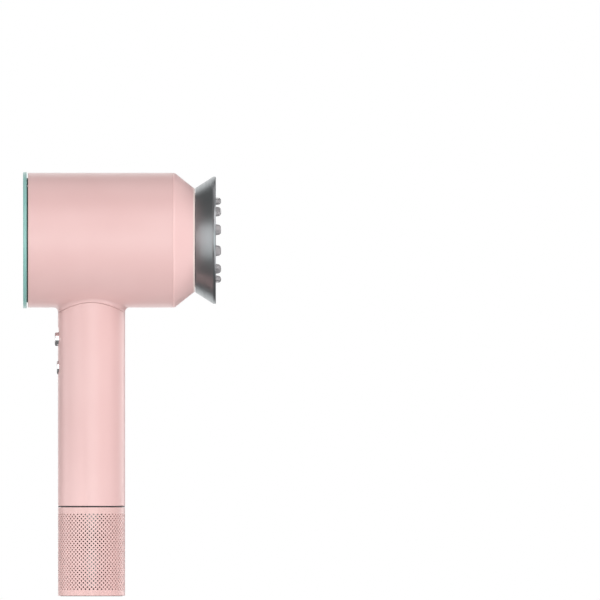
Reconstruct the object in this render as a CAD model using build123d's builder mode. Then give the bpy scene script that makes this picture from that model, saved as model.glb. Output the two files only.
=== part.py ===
"""A hand-held hair dryer with a hollow drum head, a motor in its handle and a clip-on diffuser nozzle.

Frame, in millimetres: the origin is the mouth of the cord entry at the bottom of the handle, +Z runs up the
handle's axis, and +X runs along the head towards the air outlet. The head is round about an axis parallel to X.
Outlines of round head pieces are given as (x, radius) pairs.
"""

from build123d import *

import os
from math import cos, radians, sin, sqrt

# ---- driving dimensions: head ----
head_height = 206.0  # head axis above the base
head_radius = 39.0
head_wall = 1.8
rear_reach = 36.8  # handle axis to the shell's rear edge
shell_length = 83.9
bore_radius = 19.5
bore_wall = 1.2
cone_land = 1.0  # straight stretch of the front cone, before its corner
cone_length = 10.8
corner_round = 1.4
outlet_gap = 8.3  # bore surface to the wall of the round outlet that nozzles plug into
outlet_depth = 4.8
nose_land = 2.6  # outlet wall to the cone's outside, at its nose
lip_width = 0.9
lip_land = 2.0
groove_width = 0.75
groove_depth = 3.0
disc_thickness = 2.05
disc_overhang = 0.5
mouth_flare = 4.5

# ---- driving dimensions: rear buttons ----
button_radius = 3.4
button_travel = 0.8
button_angle = 28.0  # each side of straight up
light_radius = 0.55
light_spacing = 5.0  # degrees between indicator lights
stem_radius = 1.2
flange_thickness = 0.6

# ---- driving dimensions: heater ----
heater_rear = 20.5
heater_length = 24.5
coil_count = 7
coil_wire = 0.8  # radius of the heating wire
fin_count = 8
fin_thickness = 0.8

# ---- driving dimensions: handle ----
handle_radius = 19.45
handle_wall = 1.6
tube_wall = 1.3
seam_tighten = 4.6  # how much tighter the neck seam curves than the drum
seam_drop = 2.9  # how far the neck seam hangs below the head
seam_gap = 0.25
neck_fillet = 2.4
cage_height = 51.4
cage_lift = 0.3  # the cage hangs clear of what the handle stands on
cage_wall = 1.1
cage_travel = 55.0
cage_hole = 1.0
cage_rows = 10
cage_columns = 24
seal_thickness = 0.7
cap_thickness = 3.0
plug_height = 5.0
cord_radius = 3.6
gland_radius = 5.5
screw_radius = 0.95
screw_head = 2.1

# ---- driving dimensions: handle controls ----
board_bottom = 112.0
board_height = 48.0
board_margin = 1.358  # each edge of the board to the duct's wall
board_thickness = 1.6
board_inset = 9.85  # handle's surface to the board's rear face
rail_depth = 4.4
rail_width = 2.6
rail_overlap = 0.9  # how far the rails reach over the board's edges
slider_height = 148.7
slider_radius = 4.2
slider_travel = 3.0
slider_proud = 1.8
shot_height = 132.3
shot_radius = 4.1
shot_travel = 1.0
shot_proud = 0.6
dish_depth = 0.9

# ---- driving dimensions: motor ----
motor_bottom = 60.0
mount_wall = 2.45  # soft rings between the motor and the liner
motor_wall = 0.8
motor_length = 32.0
blade_count = 11
vane_count = 7
shaft_radius = 1.0
bearing_radius = 3.45
bearing_width = 2.5
magnet_core_radius = 3.2

# ---- driving dimensions: diffuser nozzle ----
bell_step = 2.4  # outlet wall to the bell's outside, at its narrow end
bell_spread = 6.7
bell_length = 10.5
bell_wall = 1.65
bell_floor = 1.8
rim_width = 1.35
rim_round = 0.85
hub_step = 1.5  # how far the nozzle's bore is inside the head's
hub_wall = 1.2
collar_wall = 1.2
collar_reach = 4.5  # how deep the collar plugs into the outlet
prong_inset = 4.2  # nozzle hub to the prongs' circle
prong_count = 12
prong_long = 7.6  # along the circle
prong_wide = 5.0
prong_height = 6.9
prong_taper = 8.0  # degrees
prong_round = 1.1
face_thickness = 1.6
face_depth = 3.85  # rim to the front of the perforated face
face_hole = 1.15
magnet_count = 8
magnet_radius = 0.9
magnet_depth = 1.2

# ---- clearances and shared small sizes ----
snug = 0.1  # between pieces that are fixed together
slack = 0.3  # between pieces that move past each other
running = 0.05  # a shaft in its bearings
press_gap = 0.2  # a button's stem to its switch
edge_round = 0.4
plate = 1.6  # thickness of circuit boards

# ---- positions worked out from them ----
head_axis = Axis((0, 0, head_height), (1, 0, 0))
head_inner = head_radius - head_wall
shell_rear = -rear_reach
shell_front = shell_rear + shell_length
disc_radius = head_radius + disc_overhang
disc_front = shell_rear - groove_width
disc_rear = disc_front - disc_thickness
liner_rear = disc_rear + mouth_flare
liner_outer = bore_radius + bore_wall
cone_corner = shell_front + cone_land
cone_nose = cone_corner + cone_length
outlet_x = cone_nose + lip_width
outlet_radius = bore_radius + outlet_gap
handle_inner = handle_radius - handle_wall
seam_radius = head_radius - seam_tighten
seam_centre = head_height - head_radius - seam_drop + seam_radius
tube_radius = handle_inner - snug  # neck duct and handle liner, inside the handle's shell
tube_inner = tube_radius - tube_wall
board_reach = handle_radius - board_inset
board_width = 2 * (sqrt(tube_inner**2 - board_reach**2) - board_margin)
motor_radius = tube_inner - mount_wall
shell_bottom = cage_height + snug + seal_thickness
board_top = board_bottom + board_height

up = (Align.CENTER, Align.CENTER, Align.MIN)
pieces = {}


def on_head(x):
    """Plane square to the head's axis, with its origin on the axis and its normal towards the outlet."""
    return Plane(origin=(x, 0, head_height), x_dir=(0, 1, 0), z_dir=(1, 0, 0))


def on_head_at(x, radius, angle):
    """The same plane moved out to a radius, at an angle in degrees from straight up."""
    offset = (x, radius * sin(radians(angle)), head_height + radius * cos(radians(angle)))
    return Plane(origin=offset, x_dir=(0, 1, 0), z_dir=(1, 0, 0))


def behind_handle(x, z):
    """Plane at the back of the handle, with its normal pointing forwards into it."""
    return Plane(origin=(x, 0, z), x_dir=(0, 1, 0), z_dir=(1, 0, 0))


def about_head(*outline):
    """Turns (x, radius) pairs into points of Plane.XZ, above the head's axis."""
    return [(x, head_height + radius) for x, radius in outline]


def rings(part, radius, axis=Axis.X):
    """The circular edges of one radius, sorted along an axis."""
    circles = part.edges().filter_by(GeomType.CIRCLE)
    return circles.filter_by(lambda edge: abs(edge.radius - radius) < 1e-4).sort_by(axis)


# ================= head: outer shells =================

# Drum of the head, with the flared neck that the handle meets along a saddle-shaped seam.
neck_reach = handle_radius + neck_fillet + edge_round
neck_bottom = head_height - head_radius - 2 * seam_drop
with BuildPart() as below_seam:
    with BuildSketch(Plane.XY.offset(neck_bottom - seam_drop)):
        Circle(neck_reach)
    extrude(amount=head_radius / 2)
    with BuildSketch(Plane.YZ.offset(-neck_reach)):
        with Locations((0, seam_centre)):
            Circle(seam_radius)
    extrude(amount=2 * neck_reach, mode=Mode.SUBTRACT)

with BuildPart() as head_shell:
    with BuildSketch(on_head(shell_rear)):
        Circle(head_radius)
    extrude(amount=shell_length)
    with BuildSketch(Plane.XY.offset(neck_bottom)):
        Circle(handle_radius)
    extrude(amount=head_height - neck_bottom)
    saddle = head_shell.edges().filter_by(GeomType.BSPLINE)
    fillet(saddle, neck_fillet)
    add(below_seam.part, mode=Mode.SUBTRACT)
    with BuildSketch(on_head(shell_rear)):
        Circle(head_inner)
    extrude(amount=shell_length, mode=Mode.SUBTRACT)
    with BuildSketch(Plane.XY.offset(head_height)):
        Circle(handle_inner)
    extrude(amount=-2 * head_radius, mode=Mode.SUBTRACT)
    fillet(rings(head_shell.part, head_radius), edge_round)
pieces["head_shell"] = head_shell

# Tapered front of the head. Its spigot fits inside the drum and its nose holds the steel docking ring.
spigot_length = 2.6
spigot_inner = head_inner - head_wall
nose_radius = outlet_radius + nose_land
dock_wall = 0.6
dock_depth = outlet_depth / 2
dock_inner = outlet_radius + dock_wall
dock_outer = nose_radius - dock_wall
throat_radius = outlet_radius + nose_land - 0.2
with BuildPart() as front_cone:
    with BuildSketch(Plane.XZ):
        with BuildLine():
            Polyline(
                *about_head(
                    (shell_front - spigot_length, head_inner - snug),
                    (shell_front, head_inner - snug),
                    (shell_front, head_radius),
                    (cone_corner, head_radius),
                    (cone_nose, nose_radius),
                    (cone_nose, dock_outer + snug),
                    (cone_nose - dock_depth, dock_outer + snug),
                    (cone_nose - dock_depth, dock_inner - snug),
                    (cone_nose, dock_inner - snug),
                    (cone_nose, outlet_radius),
                    (outlet_x - outlet_depth, outlet_radius),
                    (outlet_x - outlet_depth, throat_radius),
                    (cone_corner, spigot_inner),
                    (shell_front - spigot_length, spigot_inner),
                ),
                close=True,
            )
        make_face()
    revolve(axis=head_axis)
    fillet(rings(front_cone.part, head_radius)[-1], corner_round)
    fillet(rings(front_cone.part, head_radius)[0], edge_round / 2)
pieces["front_cone"] = front_cone

# Steel ring that the nozzle's magnets hold on to.
with BuildPart(on_head(cone_nose - dock_depth)) as dock_ring:
    Cylinder(dock_outer, dock_depth, align=up)
    Hole(dock_inner)
pieces["dock_ring"] = dock_ring

# Pale lip that closes the nose over the docking ring.
lip_radius = outlet_radius + lip_land
with BuildPart() as outlet_rim:
    with BuildSketch(Plane.XZ):
        with BuildLine():
            Polyline(
                *about_head(
                    (cone_nose, outlet_radius),
                    (cone_nose, nose_radius),
                    (outlet_x, lip_radius),
                    (outlet_x, outlet_radius),
                ),
                close=True,
            )
        make_face()
    revolve(axis=head_axis)
    fillet(rings(outlet_rim.part, lip_radius), edge_round / 2)
pieces["outlet_rim"] = outlet_rim

# ================= head: bore =================

# Tube through the head, open at both ends.
with BuildPart(on_head(liner_rear)) as bore_liner:
    Cylinder(liner_outer, outlet_x - liner_rear, align=up)
    Hole(bore_radius)
pieces["bore_liner"] = bore_liner

# Inner wall of the air outlet: a sleeve on the liner, held by webs that reach the front cone's spigot.
sleeve_inner = liner_outer + snug
sleeve_outer = sleeve_inner + 2.2
web_length = 2.1
web_thickness = 1.6
web_count = 6
web_rear = cone_corner - web_length
web_reach = spigot_inner - snug
with BuildPart(on_head(web_rear)) as outlet_spider:
    Cylinder(sleeve_outer, outlet_x - web_rear, align=up)
    web_middle = (sleeve_inner + web_reach) / 2
    with PolarLocations(web_middle, web_count, start_angle=30):
        Box(web_reach - sleeve_inner, web_thickness, web_length, align=up)
    Hole(sleeve_inner)
pieces["outlet_spider"] = outlet_spider

# ================= head: rear =================

button_circle = (bore_radius + mouth_flare + disc_radius) / 2
button_places = {"speed_button": button_angle, "heat_button": -button_angle}
light_angles = [side * (button_angle + 12 + light_spacing * n) for side in (1, -1) for n in range(3)]
mouth_back = bore_radius + 2 * mouth_flare / 3

# Coloured rear disc, whose inner edge curls forwards into the bore.
with BuildPart() as rear_disc:
    with BuildSketch(Plane.XZ):
        with BuildLine():
            Polyline(
                *about_head(
                    (disc_rear, bore_radius + mouth_flare),
                    (disc_rear, disc_radius),
                    (disc_front, disc_radius),
                    (disc_front, mouth_back),
                    (liner_rear, liner_outer),
                    (liner_rear, bore_radius),
                )
            )
            RadiusArc(
                *about_head((liner_rear, bore_radius), (disc_rear, bore_radius + mouth_flare)),
                mouth_flare,
            )
        make_face()
    revolve(axis=head_axis)
    fillet(rings(rear_disc.part, disc_radius), edge_round)
    for angle in button_places.values():
        with BuildSketch(on_head_at(disc_rear, button_circle, angle)):
            Circle(button_radius + snug)
        extrude(amount=disc_thickness, mode=Mode.SUBTRACT)
    for angle in light_angles:
        with BuildSketch(on_head_at(disc_rear, button_circle, angle)):
            Circle(light_radius + running)
        extrude(amount=disc_thickness, mode=Mode.SUBTRACT)
pieces["rear_disc"] = rear_disc

# Dark cap that closes the drum behind the disc. Its front rim shows as the bottom of the groove.
cap_inner = mouth_back + slack
skirt_wall = 1.6
cap_plate_front = disc_front + 2.6
skirt_front = shell_rear + 4.8
flange_radius = button_radius + 0.8
pocket_depth = flange_thickness + button_travel + 2 * snug
with BuildPart() as rear_cap:
    with BuildSketch(Plane.XZ):
        with BuildLine():
            Polyline(
                *about_head(
                    (disc_front, cap_inner),
                    (disc_front, head_radius - groove_depth),
                    (shell_rear, head_radius - groove_depth),
                    (shell_rear, head_inner - snug),
                    (skirt_front, head_inner - snug),
                    (skirt_front, head_inner - snug - skirt_wall),
                    (cap_plate_front, head_inner - snug - skirt_wall),
                    (cap_plate_front, cap_inner),
                ),
                close=True,
            )
        make_face()
    revolve(axis=head_axis)
    for angle in button_places.values():
        with BuildSketch(on_head_at(disc_front, button_circle, angle)):
            Circle(flange_radius + slack)
        extrude(amount=pocket_depth, mode=Mode.SUBTRACT)
        with BuildSketch(on_head_at(disc_front, button_circle, angle)):
            Circle(stem_radius + slack)
        extrude(amount=cap_plate_front - disc_front, mode=Mode.SUBTRACT)
pieces["rear_cap"] = rear_cap

# Speed and heat buttons: a cap in the disc, a flange that keeps it in, and a stem to its switch.
button_recess = 0.1
cap_rear = disc_rear + button_recess
flange_rear = disc_front + snug
stem_tip = cap_plate_front + 0.4
for name, angle in button_places.items():
    with BuildPart(on_head_at(cap_rear, button_circle, angle)) as button:
        Cylinder(button_radius, flange_rear - cap_rear, align=up)
        with Locations((0, 0, flange_rear - cap_rear)):
            Cylinder(flange_radius, flange_thickness, align=up)
            Cylinder(stem_radius, stem_tip - flange_rear, align=up)
        fillet(rings(button.part, button_radius)[0], edge_round)
    pieces[name] = button

# Indicator lights, set in the disc beside the buttons.
with BuildPart() as indicator_lights:
    for angle in light_angles:
        with BuildSketch(on_head_at(disc_rear, button_circle, angle)):
            Circle(light_radius)
        extrude(amount=disc_thickness)
pieces["indicator_lights"] = indicator_lights

# Round board behind the rear cap, and the two switches that the buttons press.
switch_body = 4.5
switch_height = 1.4
plunger_length = 0.6
control_rear = stem_tip + button_travel + press_gap + plunger_length + switch_height
with BuildPart(on_head(control_rear)) as control_board:
    Cylinder(head_inner - slack, plate, align=up)
    Hole(cap_inner)
pieces["control_board"] = control_board

with BuildPart() as button_switches:
    for angle in button_places.values():
        switch_rear = control_rear - switch_height
        with BuildSketch(on_head_at(switch_rear, button_circle, angle)):
            Rectangle(switch_body, switch_body)
        extrude(amount=switch_height)
        with BuildSketch(on_head_at(switch_rear, button_circle, angle)):
            Circle(stem_radius)
        extrude(amount=-plunger_length)
pieces["button_switches"] = button_switches

# Bulkhead between the electronics and the air chamber, with a slot for the ribbon.
ribbon_width = 6.0
ribbon_thickness = 0.5
ribbon_height = head_height - (cap_inner + head_inner) / 2
bulkhead_x = -handle_radius - 4.5
bulkhead_thickness = 1.2
with BuildPart(on_head(bulkhead_x)) as bulkhead:
    Cylinder(head_inner - snug, bulkhead_thickness, align=up)
    Hole(liner_outer + snug)
    with Locations((0, ribbon_height - head_height)):
        Box(ribbon_width + 2 * slack, ribbon_thickness + 2 * slack, 4 * bulkhead_thickness, mode=Mode.SUBTRACT)
pieces["bulkhead"] = bulkhead

# ================= head: heater =================

spool_inner = liner_outer + 0.9
spool_outer = spool_inner + 0.8
shield_outer = spigot_inner - 0.5
shield_inner = shield_outer - 0.6
fin_reach = shield_inner - snug
coil_rows = [spool_outer + share * (fin_reach - spool_outer) for share in (0.35, 0.73)]
coil_pitch = heater_length / (coil_count + 1)
coil_places = [(0, 0, coil_pitch * (n + 1)) for n in range(coil_count)]
terminal_width = 1.0

# Mica spool with fins, drilled where the coils pass, and a terminal band at its rear.
with BuildPart(on_head(heater_rear)) as heater_frame:
    Cylinder(spool_outer, heater_length, align=up)
    with PolarLocations((spool_inner + fin_reach) / 2, fin_count, start_angle=22.5):
        Box(fin_reach - spool_inner, fin_thickness, heater_length, align=up)
    Cylinder(fin_reach - 0.4, terminal_width, align=up)
    Cylinder(fin_reach - 4.4, terminal_width, align=up, mode=Mode.SUBTRACT)
    Cylinder(spool_outer, heater_length, align=up)
    with PolarLocations((spool_inner + fin_reach) / 2, fin_count, start_angle=22.5):
        Box(fin_reach - spool_inner, fin_thickness, heater_length, align=up)
    Hole(spool_inner)
    with Locations(*coil_places):
        for row in coil_rows:
            Torus(row, coil_wire + snug, mode=Mode.SUBTRACT)
pieces["heater_frame"] = heater_frame

with BuildPart(on_head(heater_rear)) as heater_coils:
    with Locations(*coil_places):
        for row in coil_rows:
            Torus(row, coil_wire)
pieces["heater_coils"] = heater_coils

with BuildPart(on_head(heater_rear - 0.7)) as heat_shield:
    Cylinder(shield_outer, heater_length + 1.2, align=up)
    Hole(shield_inner)
pieces["heat_shield"] = heat_shield

# Thermal cut-out, in the gap between the heat shield and the drum.
cutout_height = head_inner - shield_outer - 4 * snug
with BuildPart() as thermal_cutout:
    with Locations((heater_rear + 6, 0, head_height + shield_outer + snug)):
        Box(8, 5, cutout_height, align=up)
pieces["thermal_cutout"] = thermal_cutout

# Bead sensor and ioniser needle, each standing on the front of a web.
web_front = cone_corner
rod_circle = (sleeve_outer + outlet_radius) / 2
with BuildPart(on_head_at(web_front, rod_circle, 60)) as temperature_sensor:
    Cylinder(0.6, 3.2, align=up)
    with Locations((0, 0, 3.2)):
        Sphere(1.1)
pieces["temperature_sensor"] = temperature_sensor

with BuildPart(on_head_at(web_front, rod_circle, -60)) as ioniser_needle:
    Cylinder(0.7, 3.0, align=up)
    with Locations((0, 0, 3.0)):
        Cone(0.7, 0.1, 2.6, align=up)
pieces["ioniser_needle"] = ioniser_needle

# ================= neck and handle shells =================

window_half_width = slider_radius + 2.2
window_bottom = shot_height - shot_radius - 4
window_top = slider_height + slider_radius + slider_travel + 6
window_gap = 4.0  # board's rear face to the duct's window
dish_radius = shot_radius + 0.9
slot_height = slider_height + slider_travel / 2
slot_length = 2 * (slider_radius + snug) + slider_travel

# Outer tube of the handle. Behind, a slot guides the power slider and a hole takes the cold-shot button.
with BuildPart() as handle_shell:
    with BuildSketch(Plane.XY.offset(shell_bottom)):
        Circle(handle_radius)
    extrude(amount=head_height - seam_tighten - shell_bottom)
    with BuildSketch(Plane.YZ.offset(-neck_reach)):
        with Locations((0, seam_centre)):
            Circle(seam_radius + seam_gap)
    extrude(amount=2 * neck_reach, mode=Mode.SUBTRACT)
    with BuildSketch(behind_handle(-handle_radius, slot_height)):
        SlotOverall(slot_length + 2 * edge_round, 2 * (slider_radius + snug + edge_round), rotation=90)
    extrude(amount=dish_depth, mode=Mode.SUBTRACT)
    with BuildSketch(behind_handle(-handle_radius, shot_height)):
        Circle(dish_radius)
    extrude(amount=dish_depth, mode=Mode.SUBTRACT)
    with BuildSketch(behind_handle(-handle_radius, slot_height)):
        SlotOverall(slot_length, 2 * (slider_radius + snug), rotation=90)
    extrude(amount=handle_radius, mode=Mode.SUBTRACT)
    with BuildSketch(behind_handle(-handle_radius, shot_height)):
        Circle(shot_radius + snug)
    extrude(amount=handle_radius, mode=Mode.SUBTRACT)
    with BuildSketch(Plane.XY.offset(shell_bottom)):
        Circle(handle_inner)
    extrude(amount=head_height, mode=Mode.SUBTRACT)
    fillet(rings(handle_shell.part, handle_radius, Axis.Z)[0], edge_round)
pieces["handle_shell"] = handle_shell

# Air duct from the handle into the head: a tube with a saddle flange that lies inside the drum.
saddle_flange = 1.1
flange_reach = handle_radius + 3
with BuildPart() as neck_duct:
    with BuildSketch(Plane.XY.offset(board_bottom)):
        Circle(flange_reach)
    extrude(amount=head_height - board_bottom)
    with BuildSketch(on_head(-flange_reach)):
        Circle(head_inner - snug)
    extrude(amount=2 * flange_reach, mode=Mode.INTERSECT)
    with BuildSketch(Plane.XY.offset(board_bottom)):
        Circle(tube_radius)
    extrude(amount=head_height - board_bottom)
    with BuildSketch(Plane.XY.offset(board_bottom)):
        Circle(tube_inner)
    extrude(amount=head_height, mode=Mode.SUBTRACT)
    with BuildSketch(on_head(-flange_reach)):
        Circle(head_inner - snug - saddle_flange)
    extrude(amount=2 * flange_reach, mode=Mode.SUBTRACT)
    for side in (1, -1):
        rail_y = side * (board_width / 2 - rail_overlap + rail_width / 2)
        with Locations((-board_reach + board_thickness / 2, rail_y, board_bottom)):
            Box(rail_depth, rail_width, board_height, align=up)
    with Locations((-board_reach + board_thickness / 2, 0, board_bottom)):
        Box(board_thickness + 2 * snug, board_width + 2 * snug, board_height, align=up, mode=Mode.SUBTRACT)
    with BuildSketch(behind_handle(-2 * handle_radius, (window_bottom + window_top) / 2)):
        Rectangle(2 * window_half_width, window_top - window_bottom)
    extrude(amount=2 * handle_radius - board_reach - window_gap, mode=Mode.SUBTRACT)
pieces["neck_duct"] = neck_duct

# ================= handle controls =================

with BuildPart() as power_board:
    with Locations((-board_reach + board_thickness / 2, 0, board_bottom)):
        Box(board_thickness, board_width, board_height, align=up)
pieces["power_board"] = power_board

# Capacitor, coil and driver chip on the front of the power board.
board_front = board_thickness - board_reach
with BuildPart() as board_parts:
    with BuildSketch(Plane(origin=(board_front, 0, board_bottom + 12), x_dir=(0, 1, 0), z_dir=(1, 0, 0))):
        Circle(4)
    extrude(amount=12)
    with BuildSketch(Plane(origin=(board_front, 0, board_bottom + 27), x_dir=(0, 1, 0), z_dir=(1, 0, 0))):
        Rectangle(12, 9)
    extrude(amount=7)
    with BuildSketch(Plane(origin=(board_front, 0, board_bottom + 40), x_dir=(0, 1, 0), z_dir=(1, 0, 0))):
        Rectangle(9, 9)
    extrude(amount=1.2)
pieces["board_parts"] = board_parts

# Power slider: a round knob on a plate that rides behind the slot, with a nib towards its switch.
slider_plate_x = -handle_radius + 2.85
slider_plate = 0.8
nib_length = 2.1
with BuildPart(behind_handle(-handle_radius - slider_proud, slider_height)) as power_slider:
    knob_length = slider_plate_x + handle_radius + slider_proud
    Cylinder(slider_radius, knob_length, align=up)
    with Locations((0, 0, knob_length)):
        Box(2 * (slider_radius + 0.8), 2 * (slider_radius + slider_travel + 1.3), slider_plate, align=up)
        Cylinder(1.5, slider_plate + nib_length, align=up)
    fillet(rings(power_slider.part, slider_radius)[0], 2 * edge_round)
pieces["power_slider"] = power_slider

nib_tip = slider_plate_x + slider_plate + nib_length
with BuildPart(behind_handle(nib_tip + slack, slider_height + slider_travel / 2)) as power_switch:
    Box(7, 11, -board_reach - nib_tip - slack, align=up)
pieces["power_switch"] = power_switch

# Cold-shot button: cap, retaining flange and stem.
shot_flange_x = -handle_radius + 2.65
shot_flange = 0.8
shot_stem = 1.5
with BuildPart(behind_handle(-handle_radius - shot_proud, shot_height)) as cold_shot_button:
    cap_length = shot_flange_x + handle_radius + shot_proud
    Cylinder(shot_radius, cap_length, align=up)
    with Locations((0, 0, cap_length)):
        Cylinder(shot_radius + 0.8, shot_flange, align=up)
        Cylinder(1.5, shot_flange + shot_stem, align=up)
    fillet(rings(cold_shot_button.part, shot_radius)[0], edge_round)
pieces["cold_shot_button"] = cold_shot_button

shot_stem_tip = shot_flange_x + shot_flange + shot_stem
plunger_tip = shot_stem_tip + shot_travel + press_gap
with BuildPart(behind_handle(plunger_tip, shot_height)) as cold_shot_switch:
    Cylinder(1.2, -board_reach - plunger_tip, align=up)
    with Locations((0, 0, 1)):
        Box(6, 6, -board_reach - plunger_tip - 1, align=up)
pieces["cold_shot_switch"] = cold_shot_switch

# Leads from the power board to the heater, and the ribbon to the control board.
lead_radius = 0.7
lead_spread = 7.0
lead_height = head_height - (fin_reach - 2.4)
board_middle = -board_reach + board_thickness / 2
lead_bend = 6.0
with BuildPart() as heater_leads:
    for side in (1, -1):
        y = side * lead_spread
        with BuildLine():
            FilletPolyline(
                (board_middle, y, board_top),
                (board_middle, y, lead_height),
                (heater_rear, y, lead_height),
                radius=lead_bend,
            )
        with BuildSketch(Plane.XY.offset(board_top)):
            with Locations((board_middle, y)):
                Circle(lead_radius)
        sweep()
pieces["heater_leads"] = heater_leads

with BuildPart() as control_ribbon:
    with BuildLine():
        FilletPolyline(
            (board_middle, 0, board_top),
            (board_middle, 0, ribbon_height),
            (control_rear + plate, 0, ribbon_height),
            radius=lead_bend / 2,
        )
    with BuildSketch(Plane.XY.offset(board_top)):
        with Locations((board_middle, 0)):
            Rectangle(ribbon_thickness, ribbon_width)
    sweep()
pieces["control_ribbon"] = control_ribbon

# ================= lower handle =================

boss_circle = tube_inner - 2.6
boss_radius = 3.0
boss_height = 10.0
liner_window = 6.0
liner_windows = 10
plug_top = cap_thickness + plug_height

# Inner tube that carries the motor. Windows in its lower end let the air in.
with BuildPart(Plane.XY.offset(cap_thickness)) as handle_liner:
    liner_length = board_bottom - 0.5 - cap_thickness
    Cylinder(tube_radius, liner_length, align=up)
    Cylinder(tube_inner, liner_length, align=up, mode=Mode.SUBTRACT)
    window_height = cage_height - 6 - plug_top
    with PolarLocations(tube_radius - 0.5, liner_windows, start_angle=18):
        with Locations((0, 0, plug_top - cap_thickness + 2)):
            Box(6, liner_window, window_height, align=up, mode=Mode.SUBTRACT)
    with Locations((boss_circle, 0, plug_height), (-boss_circle, 0, plug_height)):
        Cylinder(boss_radius, boss_height, align=up)
        Cylinder(screw_radius + running, boss_height, align=up, mode=Mode.SUBTRACT)
pieces["handle_liner"] = handle_liner

# Fine mesh sleeve around the windows.
mesh_outer = tube_radius + 0.35
with BuildPart(Plane.XY.offset(cap_thickness + plug_height / 2)) as filter_mesh:
    Cylinder(mesh_outer, cage_height - 3 - cap_thickness - plug_height / 2, align=up)
    Hole(tube_radius + running)
pieces["filter_mesh"] = filter_mesh

# Perforated outer cage, which pulls down off the handle for cleaning.
cage_radius = handle_radius - running
cage_inner = mesh_outer + slack - snug / 2
row_pitch = (cage_height - 11) / (cage_rows - 1)
hole_places = [
    Location((0, 0, 6 + row * row_pitch), (90, (column + row % 2 / 2) * 360 / cage_columns, 0))
    for row in range(cage_rows)
    for column in range(cage_columns // 2)
]
with BuildPart() as filter_cage:
    with BuildSketch(Plane.XY.offset(cage_lift)):
        Circle(cage_radius)
        Circle(cage_inner, mode=Mode.SUBTRACT)
    extrude(amount=cage_height - cage_lift)
    fillet(rings(filter_cage.part, cage_radius, Axis.Z), edge_round)
    with Locations(*hole_places):
        Cylinder(cage_hole, 3 * cage_radius, mode=Mode.SUBTRACT)
pieces["filter_cage"] = filter_cage

with BuildPart(Plane.XY.offset(cage_height + snug)) as cage_seal:
    Cylinder(handle_radius - 2 * snug, seal_thickness, align=up)
    Hole(tube_radius + running)
pieces["cage_seal"] = cage_seal

# Bottom cap: a disc and a plug ring inside the liner, with a boss for the cord and posts for its clamp.
clamp_spread = 9.0
post_radius = 2.3
clamp_bottom = plug_top + 1.6
sleeve_wall = 2.2  # of the base cap, around the gland
with BuildPart() as base_cap:
    with BuildSketch():
        Circle(mesh_outer)
    extrude(amount=cap_thickness)
    with BuildSketch(Plane.XY.offset(cap_thickness)):
        Circle(tube_inner - snug)
        Circle(boss_circle - boss_radius, mode=Mode.SUBTRACT)
        Circle(gland_radius + sleeve_wall)
        with Locations((0, clamp_spread), (0, -clamp_spread)):
            Circle(post_radius)
    extrude(amount=plug_height)
    with BuildSketch(Plane.XY.offset(plug_top)):
        with Locations((0, clamp_spread), (0, -clamp_spread)):
            Circle(post_radius)
    extrude(amount=clamp_bottom - plug_top)
    fillet(rings(base_cap.part, mesh_outer, Axis.Z)[0], edge_round)
    Hole(gland_radius + running)
    with BuildSketch():
        with Locations((boss_circle, 0), (-boss_circle, 0)):
            Circle(screw_radius + snug)
    extrude(amount=plug_top, mode=Mode.SUBTRACT)
    with BuildSketch():
        with Locations((boss_circle, 0), (-boss_circle, 0)):
            Circle(screw_head + snug)
    extrude(amount=cap_thickness / 2, mode=Mode.SUBTRACT)
    with BuildSketch(Plane.XY.offset(clamp_bottom)):
        with Locations((0, clamp_spread), (0, -clamp_spread)):
            Circle(screw_radius + running)
    extrude(amount=-plug_height, mode=Mode.SUBTRACT)
pieces["base_cap"] = base_cap

# Two screws from below, with cross-recessed heads.
head_depth = 1.2
with BuildPart(Plane.XY.offset(cap_thickness / 2 - head_depth)) as base_screws:
    with Locations((boss_circle, 0), (-boss_circle, 0)):
        Cylinder(screw_head, head_depth, align=up)
        Cylinder(screw_radius, plug_top + boss_height / 2, align=up)
        Box(2.4, 0.6, 1.2, mode=Mode.SUBTRACT)
        Box(0.6, 2.4, 1.2, mode=Mode.SUBTRACT)
pieces["base_screws"] = base_screws

# Rubber sleeve that the cord comes out of, with a flange inside the cap.
gland_flange = 1.5
with BuildPart() as cord_gland:
    Cylinder(gland_radius, plug_top, align=up)
    with Locations((0, 0, plug_top)):
        Cylinder(gland_radius + 1.1, gland_flange, align=up)
    Hole(cord_radius)
pieces["cord_gland"] = cord_gland

# Bar that clamps the cord inside the handle, and its screws.
clamp_height = 3.0
with BuildPart(Plane.XY.offset(clamp_bottom)) as cord_clamp:
    Box(10, 2 * (clamp_spread + post_radius), clamp_height, align=up)
    Hole(cord_radius)
    with Locations((0, clamp_spread), (0, -clamp_spread)):
        Cylinder(screw_radius + running, 4 * clamp_height, mode=Mode.SUBTRACT)
    fillet(cord_clamp.edges().filter_by(Axis.Z).group_by(Axis.Y)[-1], 2 * edge_round)
    fillet(cord_clamp.edges().filter_by(Axis.Z).group_by(Axis.Y)[0], 2 * edge_round)
pieces["cord_clamp"] = cord_clamp

with BuildPart(Plane.XY.offset(clamp_bottom + clamp_height)) as clamp_screws:
    with Locations((0, clamp_spread), (0, -clamp_spread)):
        Cylinder(screw_head, head_depth, align=up)
        Cylinder(screw_radius, clamp_height + plug_height / 2, align=(Align.CENTER, Align.CENTER, Align.MAX))
pieces["clamp_screws"] = clamp_screws

# ================= motor =================

motor_inner = motor_radius - motor_wall
impeller_bottom = motor_bottom + 2
impeller_height = 9.0
spider_bottom = impeller_bottom + impeller_height + 1
spider_height = 6.0
hub_outer = bearing_radius + 1.2
lower_bearing_z = spider_bottom + 1.5
stator_bottom = spider_bottom + spider_height + 2
stator_height = 8.0
bridge_bottom = stator_bottom + stator_height + 2
motor_top = motor_bottom + motor_length

with BuildPart(Plane.XY.offset(motor_bottom)) as motor_housing:
    Cylinder(motor_radius, motor_length, align=up)
    Hole(motor_inner)
pieces["motor_housing"] = motor_housing

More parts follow.
